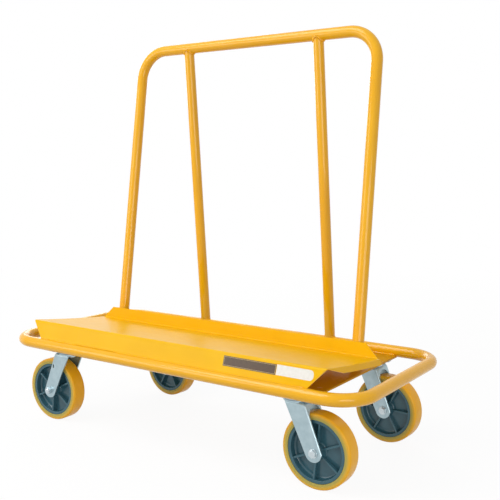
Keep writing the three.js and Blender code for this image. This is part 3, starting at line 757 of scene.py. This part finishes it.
def bent_fork_sheet(reach, drop):
    """A crown that runs down, along the rake, into two legs and a short skirt behind them."""
    to_axle = Vector((TRAIL, WHEEL_RADIUS)) - FORK_SHOULDER
    rake = math.atan2(to_axle.x, -to_axle.y) + math.asin(LEG_EDGE / to_axle.length)
    slope = math.tan(rake)
    back = FORK_SHOULDER.x - slope * (CROWN_TOP - FORK_SHOULDER.y)
    fork = sheet_blank((back + reach, 2 * FORK_OUTSIDE), ((back - reach) / 2, 0, CROWN_TOP))
    edit()
    pick("EDGE", lambda edge: max(vertex.co.x for vertex in edge.verts) > back - TINY)
    run((slope * drop, 0, -drop))
    leave_edit()
    weights = fork.data.attributes.new("bevel_weight_edge", "FLOAT", "EDGE")
    for edge, weight in zip(fork.data.edges, weights.data):
        ends = [fork.data.vertices[i].co for i in edge.vertices]
        heights = [end.z for end in ends]
        if max(end.x for end in ends) > back - TINY and max(heights) > CROWN_TOP - TINY:
            crown_bend = min(heights) > CROWN_TOP - TINY
            weight.value = 1 if crown_bend else FORK_CORNER_SHARE
    use_modifier(
        fork, "BEVEL", width=FORK_BEND, limit_method="WEIGHT", segments=8, use_clamp_overlap=False,
    )
    use_modifier(fork, "SOLIDIFY", thickness=FORK_GAUGE, offset=-1, use_even_offset=True)
    return fork


def fork_outline(width):
    """The fork's side view as a solid: from the crown to the legs' round ends."""
    outline = drum(LEG_END, width, (TRAIL, 0, WHEEL_RADIUS), (0, 1, 0), 64)
    edit()
    bpy.ops.mesh.primitive_cube_add(
        size=1, location=(CROWN_MIDDLE, 0, CROWN_TOP), scale=(CROWN_LENGTH, width, CROWN_DEPTH),
    )
    bpy.ops.mesh.select_all(action="SELECT")
    bpy.ops.mesh.convex_hull()
    leave_edit()
    return outline


def wheel_arch(length, drop):
    """A round-topped tunnel along X that clears the skirt for the wheel."""
    arch = drum(ARCH_RADIUS, length, (0, 0, ARCH_HEIGHT), (1, 0, 0), 64)
    edit()
    pick("VERT", lambda vertex: vertex.co.z < ARCH_HEIGHT - TINY)
    bpy.ops.transform.translate(value=(0, 0, -drop))
    leave_edit()
    return arch


def leg_slot(length):
    """A round-ended slot through one leg."""
    slot = drum(LEG_SLOT_RADIUS, length, (LEG_SLOT_X, length / 2, LEG_SLOT_Z), (0, 1, 0))
    edit()
    pick("VERT", lambda vertex: vertex.co.z > LEG_SLOT_Z + TINY)
    bpy.ops.transform.translate(value=(0, 0, LEG_SLOT_REACH))
    pick("VERT", lambda vertex: vertex.co.z < LEG_SLOT_Z + TINY)
    bpy.ops.transform.translate(value=(0, 0, -LEG_SLOT_REACH))
    leave_edit()
    return slot


def fork_pressing():
    """One sheet bent down into two raked legs and a short skirt behind them, then cut and holed."""
    reach = TRAIL + FORK_SPARE_LENGTH
    span = FORK_OUTSIDE + FORK_SPARE_WIDTH
    drop = CROWN_TOP - (WHEEL_RADIUS - FORK_SPARE_FOOT)
    fork = bent_fork_sheet(reach, drop)
    combine(fork, fork_outline(2 * span), "INTERSECT")
    combine(fork, wheel_arch(4 * reach, 2 * drop), "DIFFERENCE")
    seat = drum(RACE_RADIUS, FORK_GAUGE, (0, 0, CROWN_TOP - FORK_GAUGE / 2), sides=64)
    combine(fork, seat, "UNION")
    combine(fork, drum(KINGPIN_HOLE, THROUGH, (0, 0, CROWN_TOP)), "DIFFERENCE")
    combine(fork, drum(AXLE_HOLE, 2 * span, (TRAIL, 0, WHEEL_RADIUS), (0, 1, 0)), "DIFFERENCE")
    combine(fork, leg_slot(span), "DIFFERENCE")
    ease_edges(fork, FORK_EASE)
    tidy_mesh(fork)
    return fork


def kingpin():
    low, high = corners("front_left_kingpin")
    seat = high.z - KINGPIN_HEAD_HEIGHT
    head = turned(
        [
            (0, seat, 0),
            (KINGPIN_HEAD_RADIUS, seat, 0),
            (KINGPIN_HEAD_RADIUS, high.z, KINGPIN_HEAD_ROUND),
            (0, high.z, 0),
        ],
        48,
    )
    shank = drum(KINGPIN_RADIUS, seat - low.z, (0, 0, (seat + low.z) / 2))
    nut = hexagon(KINGPIN_NUT_ACROSS, KINGPIN_NUT_HEIGHT)
    place(nut, hanging(CROWN_TOP - FORK_GAUGE - SEAT_GAP))
    return unite(nut, head, shank)


def plate_bolt():
    """Drawn about its own axis: its flush head is under the paint, its nut hangs below the top plate."""
    low, high = corners("front_left_plate_bolt_1")
    nut_bottom = low.z + BOLT_TIP
    nut_top = nut_bottom + BOLT_NUT_HEIGHT
    shank_top = high.z - BOLT_HEAD_DEPTH
    nut = place(hexagon(BOLT_NUT_ACROSS, BOLT_NUT_HEIGHT), hanging(nut_top))
    shank = drum(BOLT_RADIUS, shank_top - nut_top, (0, 0, (shank_top + nut_top) / 2), sides=24)
    end = place(threaded_end(BOLT_RADIUS, BOLT_TIP), hanging(nut_bottom))
    return unite(nut, shank, end)


def axle_bolt():
    """Drawn with its head's seat on z = 0 and its shank below, then laid along the axle."""
    ring = washer(AXLE_CLEARANCE, WASHER_RADIUS, WASHER_HEIGHT)
    head = place(hexagon(AXLE_ACROSS, AXLE_HEAD_HEIGHT), Matrix.Translation((0, 0, WASHER_HEIGHT)))
    plain = 2 * AXLE_SEAT + AXLE_TIP - AXLE_THREAD
    shank = drum(AXLE_RADIUS, plain, (0, 0, -plain / 2), sides=32)
    end = place(threaded_end(AXLE_RADIUS, AXLE_THREAD), hanging(-plain))
    bolt = unite(head, ring, shank, end)
    return place(bolt, AXLE @ TO_NEAR_SIDE @ Matrix.Translation((0, 0, AXLE_SEAT)))


def axle_nut():
    nut = hexagon(AXLE_ACROSS, AXLE_NUT_HEIGHT)
    combine(nut, drum(AXLE_CLEARANCE, THROUGH, (0, 0, 0)), "DIFFERENCE")
    tidy_mesh(nut, 20)
    return place(nut, AXLE @ TO_FAR_SIDE @ Matrix.Translation((0, 0, AXLE_SEAT)))


def wheel_core():
    """Rim, dished web and long hub, turned about the axle, with ribs that stand on the web."""
    core = turned(
        both_sides([
            (BORE, HUB_HALF, 0),
            (HUB_RADIUS, HUB_HALF, HUB_EDGE),
            (HUB_RADIUS, WEB_HALF_AT_HUB, HUB_FILLET),
            (RIM_INSIDE, WEB_HALF_AT_RIM, RIM_FILLET),
            (RIM_INSIDE, RIM_HALF, RIM_EDGE),
            (RIM_RADIUS, RIM_HALF, RIM_EDGE),
        ]),
        96,
    )
    inner = (BORE + HUB_RADIUS) / 2
    outer = RIM_INSIDE + RIB_BITE
    for i in range(RIB_COUNT):
        rib = block((outer - inner, RIB_WIDTH, RIB_HEIGHT), ((outer + inner) / 2, 0, 0))
        ease_edges(rib, RIB_EASE, steps=3)
        place(rib, Matrix.Rotation(2 * math.pi * i / RIB_COUNT, 4, "Z"))
        combine(core, rib, "UNION")
    tidy_mesh(core)
    return core


def tread():
    """Its paleness, for the material, grows from the outside to the rim."""
    half = [(TREAD_INSIDE, TREAD_HALF, TREAD_FOOT_ROUND), (WHEEL_RADIUS, TREAD_HALF, TREAD_ROUND)]
    ring = turned(both_sides(half), 128)
    pale = ring.data.attributes.new("paleness", "FLOAT", "POINT")
    for vertex, value in zip(ring.data.vertices, pale.data):
        value.value = (WHEEL_RADIUS - vertex.co.xy.length) / (WHEEL_RADIUS - TREAD_INSIDE)
    return ring


# Weld beads

def bead(points, closed, radius):
    """A rippled bead along the points."""
    curve = bpy.data.curves.new("bead", "CURVE")
    curve.dimensions = "3D"
    curve.bevel_depth = radius
    curve.bevel_resolution = 3
    curve.use_fill_caps = True
    spline = curve.splines.new("POLY")
    spline.points.add(len(points) - 1)
    spline.use_cyclic_u = closed
    for i, (knot, point) in enumerate(zip(spline.points, points)):
        knot.co = (*point, 1)
        knot.radius = 1 - BEAD_RIPPLE * (i % 3)
    piece = bpy.data.objects.new("bead", curve)
    bpy.context.collection.objects.link(piece)
    only(piece)
    bpy.ops.object.convert(target="MESH")
    tidy_mesh(bpy.context.object, 60)
    return bpy.context.object


def straight_bead(start, end, radius):
    start, end = Vector(start), Vector(end)
    count = max(int((end - start).length / BEAD_PITCH), 2)
    return bead([start.lerp(end, i / count) for i in range(count + 1)], False, radius)


def saddle(start, end, bar):
    """Points where a brace from start to end first meets a tube along X through bar."""
    along = (end - start).normalized()
    side = along.cross(Vector((1, 0, 0))).normalized()
    other = along.cross(side)
    points = []
    for i in range(SADDLE_POINTS):
        turn = 2 * math.pi * i / SADDLE_POINTS
        foot = start + BRACE_RADIUS * (math.cos(turn) * side + math.sin(turn) * other)
        gap = foot - bar
        a = along.y ** 2 + along.z ** 2
        b = gap.y * along.y + gap.z * along.z
        c = gap.y ** 2 + gap.z ** 2 - TUBE_RADIUS ** 2
        root = math.sqrt(max(b * b - a * c, 0))
        point = foot + along * ((-b - root) / a)
        point.y = min(point.y, cad_box[1][1] - SADDLE_MARGIN)
        points.append(point)
    return points


def leg_bead(side):
    """Round the foot of a hoop leg, where it stands on its cross plate."""
    reach = TUBE_RADIUS + LEG_BEAD_GAP
    points = []
    for i in range(LEG_POINTS):
        turn = 2 * math.pi * i / LEG_POINTS
        x = side * HOOP_FOOT_X + reach * math.cos(turn)
        y = HOOP_FOOT_Y + reach * math.sin(turn) / math.cos(LEAN)
        points.append((x, y, PLATE_TOP + LEG_BEAD_LIFT))
    return bead(points, True, LEG_BEAD)


def plate_bead(word, row):
    """Between a cross plate and the near tube, row -1, or the far tube, row 1."""
    low, high = corners(f"mount_plate_{word}")
    joint_y = LOOP_Y - math.sqrt(TUBE_RADIUS ** 2 - (LOOP_Z - PLATE_TOP) ** 2) - BEAD_OFFSET
    start = (low.x + PLATE_BEAD_INSET, row * joint_y, PLATE_TOP + BEAD_OFFSET)
    end = (high.x - PLATE_BEAD_INSET, row * joint_y, PLATE_TOP + BEAD_OFFSET)
    return straight_bead(start, end, PLATE_BEAD)


def flange_bead(side):
    """Between a hoop leg and the top of the flange in front of it."""
    middle = side * HOOP_FOOT_X
    y = FLANGE_FRONT + SHEET
    z = DECK_RISE + FLANGE_HEIGHT - BEAD_OFFSET
    start = (middle - FLANGE_BEAD_HALF, y, z)
    return place(straight_bead(start, (middle + FLANGE_BEAD_HALF, y, z), FLANGE_BEAD), leaning_place())


def face_stitch(side):
    """A short bead at one end of the near face's foot."""
    foot = near_face()[1]
    y = foot.y - BEAD_OFFSET
    start = (side * STITCH_START, y, foot.z)
    return place(straight_bead(start, (side * STITCH_END, y, foot.z), STITCH_BEAD), leaning_place())


# Materials

NOISE_LOW = 0.3
NOISE_HIGH = 0.7


def blank(name):
    material = bpy.data.materials.new(name)
    material.use_nodes = True
    tree = material.node_tree
    return material, tree.nodes, tree.links, tree.nodes["Principled BSDF"]


def object_noise(nodes, links, scale, detail, stretch=(1, 1, 1)):
    """Noise on Object coordinates, in cells a metre."""
    coordinates = nodes.new("ShaderNodeTexCoord")
    mapping = nodes.new("ShaderNodeMapping")
    mapping.inputs["Scale"].default_value = stretch
    noise = nodes.new("ShaderNodeTexNoise")
    noise.inputs["Scale"].default_value = scale
    noise.inputs["Detail"].default_value = detail
    links.new(coordinates.outputs["Object"], mapping.inputs["Vector"])
    links.new(mapping.outputs["Vector"], noise.inputs["Vector"])
    return noise.outputs["Fac"]


def ramp(nodes, links, value, low, high, low_at=NOISE_LOW, high_at=NOISE_HIGH):
    blend = nodes.new("ShaderNodeValToRGB")
    blend.color_ramp.elements[0].position = low_at
    blend.color_ramp.elements[0].color = (*low, 1)
    blend.color_ramp.elements[1].position = high_at
    blend.color_ramp.elements[1].color = (*high, 1)
    links.new(value, blend.inputs["Fac"])
    return blend.outputs["Color"]


def spread(nodes, links, value, low, high, low_at=NOISE_LOW, high_at=NOISE_HIGH):
    fit = nodes.new("ShaderNodeMapRange")
    fit.inputs["From Min"].default_value = low_at
    fit.inputs["From Max"].default_value = high_at
    fit.inputs["To Min"].default_value = low
    fit.inputs["To Max"].default_value = high
    links.new(value, fit.inputs["Value"])
    return fit.outputs["Result"]


def bumps(nodes, links, value, shader, strength, distance):
    bump = nodes.new("ShaderNodeBump")
    bump.inputs["Strength"].default_value = strength
    bump.inputs["Distance"].default_value = distance
    links.new(value, bump.inputs["Height"])
    links.new(bump.outputs["Normal"], shader.inputs["Normal"])


def yellow_paint(name, low, high, coat):
    material, nodes, links, shader = blank(name)
    clouds = object_noise(nodes, links, scale=7, detail=4)
    links.new(ramp(nodes, links, clouds, low, high), shader.inputs["Base Color"])
    haze = object_noise(nodes, links, scale=40, detail=3)
    links.new(spread(nodes, links, haze, 0.30, 0.38), shader.inputs["Roughness"])
    peel = object_noise(nodes, links, scale=420, detail=1)
    bumps(nodes, links, peel, shader, strength=0.02, distance=0.2 * MM)
    shader.inputs["Specular IOR Level"].default_value = 0.05
    shader.inputs["Coat Weight"].default_value = coat
    shader.inputs["Coat Roughness"].default_value = 0.11
    return material


def zinc(name, low, high, rough_low, rough_high):
    material, nodes, links, shader = blank(name)
    spangle = object_noise(nodes, links, scale=60, detail=3)
    links.new(ramp(nodes, links, spangle, low, high), shader.inputs["Base Color"])
    rolled = object_noise(nodes, links, scale=220, detail=2, stretch=(1, 1, 0.12))
    links.new(spread(nodes, links, rolled, rough_low, rough_high), shader.inputs["Roughness"])
    bumps(nodes, links, rolled, shader, strength=0.04, distance=0.1 * MM)
    shader.inputs["Metallic"].default_value = 0.9
    return material


def amber_tread():
    material, nodes, links, shader = blank("amber_tread")
    pale = nodes.new("ShaderNodeAttribute")
    pale.attribute_name = "paleness"
    amber, olive = (0.98, 0.48, 0.012), (0.46, 0.38, 0.085)
    tint = ramp(nodes, links, pale.outputs["Fac"], amber, olive, low_at=0.05, high_at=0.75)
    links.new(tint, shader.inputs["Base Color"])
    scuffs = object_noise(nodes, links, scale=60, detail=4)
    links.new(spread(nodes, links, scuffs, 0.30, 0.42), shader.inputs["Roughness"])
    grain = object_noise(nodes, links, scale=300, detail=2)
    bumps(nodes, links, grain, shader, strength=0.04, distance=0.2 * MM)
    shader.inputs["Specular IOR Level"].default_value = 0.3
    shader.inputs["Subsurface Weight"].default_value = 0.15
    shader.inputs["Subsurface Radius"].default_value = (0.006, 0.003, 0.001)
    return material


def dark_core():
    material, nodes, links, shader = blank("dark_moulded_core")
    flow = object_noise(nodes, links, scale=30, detail=3)
    tint = ramp(nodes, links, flow, (0.032, 0.100, 0.130), (0.042, 0.125, 0.160))
    links.new(tint, shader.inputs["Base Color"])
    haze = object_noise(nodes, links, scale=70, detail=3)
    links.new(spread(nodes, links, haze, 0.16, 0.26), shader.inputs["Roughness"])
    grain = object_noise(nodes, links, scale=500, detail=2)
    bumps(nodes, links, grain, shader, strength=0.04, distance=0.15 * MM)
    return material


def decal_film(name, low, high):
    material, nodes, links, shader = blank(name)
    mottle = object_noise(nodes, links, scale=120, detail=3)
    links.new(ramp(nodes, links, mottle, low, high), shader.inputs["Base Color"])
    haze = object_noise(nodes, links, scale=200, detail=2)
    links.new(spread(nodes, links, haze, 0.28, 0.38), shader.inputs["Roughness"])
    return material


TUBE_PAINT = yellow_paint("tube_yellow_paint", (0.87, 0.430, 0.003), (0.91, 0.466, 0.005), coat=0.7)
# The sheet's paint is the tubes' paint made yellower, as painted light for the stronger light that falls on
# the flat sheet.
SHEET_PAINT = yellow_paint("sheet_paint_yellowed_for_light", (0.87, 0.474, 0.003), (0.91, 0.510, 0.005), coat=0.14)
# The cross plates' paint is darker than the rest, as painted shade for the deck's shadow over them, and it
# has no coat.
SHADED_PLATE_PAINT = yellow_paint("shade_darkened_plate_paint", (0.66, 0.325, 0.006), (0.72, 0.360, 0.009), coat=0)
ZINC = zinc("zinc_plate", (0.36, 0.47, 0.51), (0.43, 0.54, 0.58), rough_low=0.34, rough_high=0.44)
BRIGHT_ZINC = zinc("bright_zinc", (0.52, 0.59, 0.62), (0.60, 0.67, 0.70), rough_low=0.22, rough_high=0.34)
TREAD = amber_tread()
CORE = dark_core()
DARK_PRINT = decal_film("dark_film", (0.062, 0.030, 0.010), (0.080, 0.042, 0.015))
PALE_PRINT = decal_film("pale_film", (0.80, 0.77, 0.70), (0.86, 0.84, 0.78))
KEYLINE_PRINT = decal_film("keyline_film", (0.62, 0.44, 0.14), (0.70, 0.52, 0.20))

# Put the frame together, with its films and its painted weld beads

finish(bumper_loop(), "loop_tube", "frame", "yellow_paint", TUBE_PAINT, "bumper_loop")
finish(push_hoop(), "hoop_tube", "frame", "yellow_paint", TUBE_PAINT, "push_hoop")
finish(deck_tray(), "folded_deck", "frame", "yellow_paint", SHEET_PAINT, "deck_tray")
for side, word in SIDES:
    tube, plate = brace(side), cross_plate(word)
    finish(tube, f"brace_tube_{word}", "frame", "yellow_paint", TUBE_PAINT, f"brace_{word}")
    finish(plate, f"cross_plate_{word}", "frame", "yellow_paint", SHADED_PLATE_PAINT, f"mount_plate_{word}")

keyline = inside(DARK_FILM, KEYLINE_INSET)
for piece, lift, name, material in (
    (film(*DARK_FILM), 0, "dark_film", DARK_PRINT),
    (film(*keyline), FILM_LIFT, "keyline_film", KEYLINE_PRINT),
    (film(*inside(keyline, KEYLINE_WIDTH)), 2 * FILM_LIFT, "blank_film", DARK_PRINT),
    (film(*PALE_FILM, PALE_FILM_ROUND), 0, "pale_film", PALE_PRINT),
):
    place(piece, face_place() @ Matrix.Translation((0, 0, lift)))
    finish(piece, name, "frame", None, material)

for side, word in SIDES:
    foot, top = brace_ends(side)
    for piece, name in (
        (bead(saddle(foot, top, HOOP_TOP), True, BRACE_TOP_BEAD), "brace_top_weld"),
        (bead(saddle(top, foot, FAR_TUBE), True, BRACE_FOOT_BEAD), "brace_foot_weld"),
        (leg_bead(side), "leg_weld"),
        (plate_bead(word, -1), "near_plate_weld"),
        (plate_bead(word, 1), "far_plate_weld"),
        (flange_bead(side), "flange_weld"),
        (face_stitch(side), "face_stitch"),
    ):
        finish(piece, f"{name}_{word}", "frame", "yellow_paint", TUBE_PAINT)

# Put the casters together: each piece is modelled once and copied to its kingpin

joint_place = {joint["name"]: Vector(joint["pos_m"]) for joint in frame["joints"]}


def copy_of(master, matrix):
    only(master)
    bpy.ops.object.duplicate(linked=False)
    return place(bpy.context.object, matrix)


fixed_masters = {
    "top_plate": ("swivel_plate", top_plate(), "zinc_plate", ZINC),
    "ball_race": ("swivel_race", ball_race(), "zinc_plate", ZINC),
    "kingpin": ("king_bolt", kingpin(), "bright_zinc", BRIGHT_ZINC),
}
swivel_masters = {
    "fork": ("yoke", fork_pressing(), "zinc_plate", ZINC),
    "axle_bolt": ("axle_hex_bolt", axle_bolt(), "bright_zinc", BRIGHT_ZINC),
    "axle_nut": ("axle_hex_nut", axle_nut(), "bright_zinc", BRIGHT_ZINC),
}
wheel_masters = {
    "wheel_core": ("ribbed_core", wheel_core(), "wheel_core", CORE),
    "tread": ("tyre", tread(), "tread", TREAD),
}
bolt_master = plate_bolt()

for caster in CASTERS:
    kingpin_at = joint_place[f"{caster}_swivel_turn"]
    trail = joint_place[f"{caster}_wheel_spin"] - kingpin_at
    heading = math.atan2(trail.y, trail.x)
    stand = Matrix.Translation((kingpin_at.x, kingpin_at.y, 0))
    swung = stand @ Matrix.Rotation(heading, 4, "Z")
    spun = swung @ AXLE @ TO_NEAR_SIDE @ Matrix.Rotation(math.radians(CORE_TURN[caster]), 4, "Z")
    for masters, matrix, body in (
        (fixed_masters, stand, "frame"),
        (swivel_masters, swung, f"{caster}_swivel"),
        (wheel_masters, spun, f"{caster}_wheel"),
    ):
        for node, (word, master, slot, material) in masters.items():
            finish(copy_of(master, matrix), f"{caster}_{word}", body, slot, material, f"{caster}_{node}")
    for i in BOLTS:
        node = f"{caster}_plate_bolt_{i}"
        low, high = corners(node)
        middle = (low + high) / 2
        bolt = copy_of(bolt_master, Matrix.Translation((middle.x, middle.y, 0)))
        finish(bolt, f"{caster}_flush_bolt_{i}", "frame", "bright_zinc", BRIGHT_ZINC, node)
    frame["nodes"][f"{caster}_axle_sleeve"].material_slots[0].material = BRIGHT_ZINC

for masters in (fixed_masters, swivel_masters, wheel_masters):
    for word, master, slot, material in masters.values():
        bpy.data.objects.remove(master)
bpy.data.objects.remove(bolt_master)

# Stage, light and camera

FLOOR_SIZE = 40
FLOOR_ROUGHNESS = 0.9
FLOOR_BOUNCE = (0.5, 0.5, 0.5)
FLOOR_WHITE = (1, 1, 1)
SHADOW_SHARE = 0.07
SHADOW_FULL_TO = 1.2
SHADOW_GONE_AT = 4
SKY_LIGHT = 0.44


def backdrop_rays(nodes, links):
    """1 for rays that show the pale background, straight or in a reflection, and 0 for the light's own."""
    path = nodes.new("ShaderNodeLightPath")
    value = path.outputs["Is Camera Ray"]
    for kind in ("Is Glossy Ray", "Is Transmission Ray"):
        either = nodes.new("ShaderNodeMath")
        either.operation = "MAXIMUM"
        links.new(value, either.inputs[0])
        links.new(path.outputs[kind], either.inputs[1])
        value = either.outputs["Value"]
    return value


def floor_glow_share(nodes, links, seen):
    """How far the floor glows white where it is seen: a little less near the cart, for its shadow."""
    coordinates = nodes.new("ShaderNodeTexCoord")
    distance = nodes.new("ShaderNodeVectorMath")
    distance.operation = "LENGTH"
    links.new(coordinates.outputs["Object"], distance.inputs[0])
    fade = spread(
        nodes, links, distance.outputs["Value"], 1 - SHADOW_SHARE, 1, SHADOW_FULL_TO, SHADOW_GONE_AT,
    )
    share = nodes.new("ShaderNodeMath")
    share.operation = "MULTIPLY"
    links.new(seen, share.inputs[0])
    links.new(fade, share.inputs[1])
    return share.outputs["Value"]


def stage():
    deselect()
    bpy.ops.mesh.primitive_plane_add(size=FLOOR_SIZE, location=(0, 0, 0))
    floor = bpy.context.object
    floor.name = "floor"
    material, nodes, links, shader = blank("pale_floor")
    shader.inputs["Roughness"].default_value = FLOOR_ROUGHNESS
    seen = backdrop_rays(nodes, links)
    tint = ramp(nodes, links, seen, FLOOR_BOUNCE, FLOOR_WHITE, low_at=0, high_at=1)
    links.new(tint, shader.inputs["Base Color"])
    glow = nodes.new("ShaderNodeEmission")
    glow.inputs["Strength"].default_value = 1
    mix = nodes.new("ShaderNodeMixShader")
    links.new(floor_glow_share(nodes, links, seen), mix.inputs["Fac"])
    links.new(shader.outputs["BSDF"], mix.inputs[1])
    links.new(glow.outputs["Emission"], mix.inputs[2])
    links.new(mix.outputs["Shader"], nodes["Material Output"].inputs["Surface"])
    floor.data.materials.append(material)


def world_light():
    world = bpy.data.worlds.new("studio")
    bpy.context.scene.world = world
    world.use_nodes = True
    nodes, links = world.node_tree.nodes, world.node_tree.links
    sky = nodes["Background"]
    sky.inputs["Color"].default_value = (1, 1, 1, 1)
    level = spread(nodes, links, backdrop_rays(nodes, links), SKY_LIGHT, 1, low_at=0, high_at=1)
    links.new(level, sky.inputs["Strength"])


def lamp(name, location, aim, size, power):
    light = bpy.data.lights.new(name, "AREA")
    light.shape = "RECTANGLE"
    light.size, light.size_y = size
    light.energy = power
    item = bpy.data.objects.new(name, light)
    item.location = location
    item.rotation_euler = (Vector(aim) - Vector(location)).to_track_quat("-Z", "Y").to_euler()
    bpy.context.collection.objects.link(item)


def photo_camera():
    """The place, turn and lens that were fitted to the photograph."""
    camera = bpy.data.objects.new("camera", bpy.data.cameras.new("camera"))
    camera.location = (1.45054, -1.91507, 0.84142)
    camera.rotation_euler = (math.pi / 2 - 0.11131, 0, 0.60251)
    camera.data.lens = 55.844
    camera.data.sensor_width = 36
    bpy.context.collection.objects.link(camera)
    bpy.context.scene.camera = camera


stage()
world_light()
lamp("key", location=(-1.6, -2.2, 4.2), aim=(0, 0, 0.4), size=(2.6, 2.6), power=105)
lamp("softbox", location=(-2.1, -2.6, 1.3), aim=(0, 0, 0.7), size=(1.7, 1.5), power=22)
lamp("fill", location=(3.1, -2.6, 0.9), aim=(0.3, 0, 0.2), size=(2.4, 1.6), power=42)
lamp("back", location=(-3.0, 2.8, 1.9), aim=(0, 0, 0.5), size=(2.4, 1.4), power=32)
photo_camera()
bpy.context.scene.view_settings.view_transform = "Standard"

deselect()
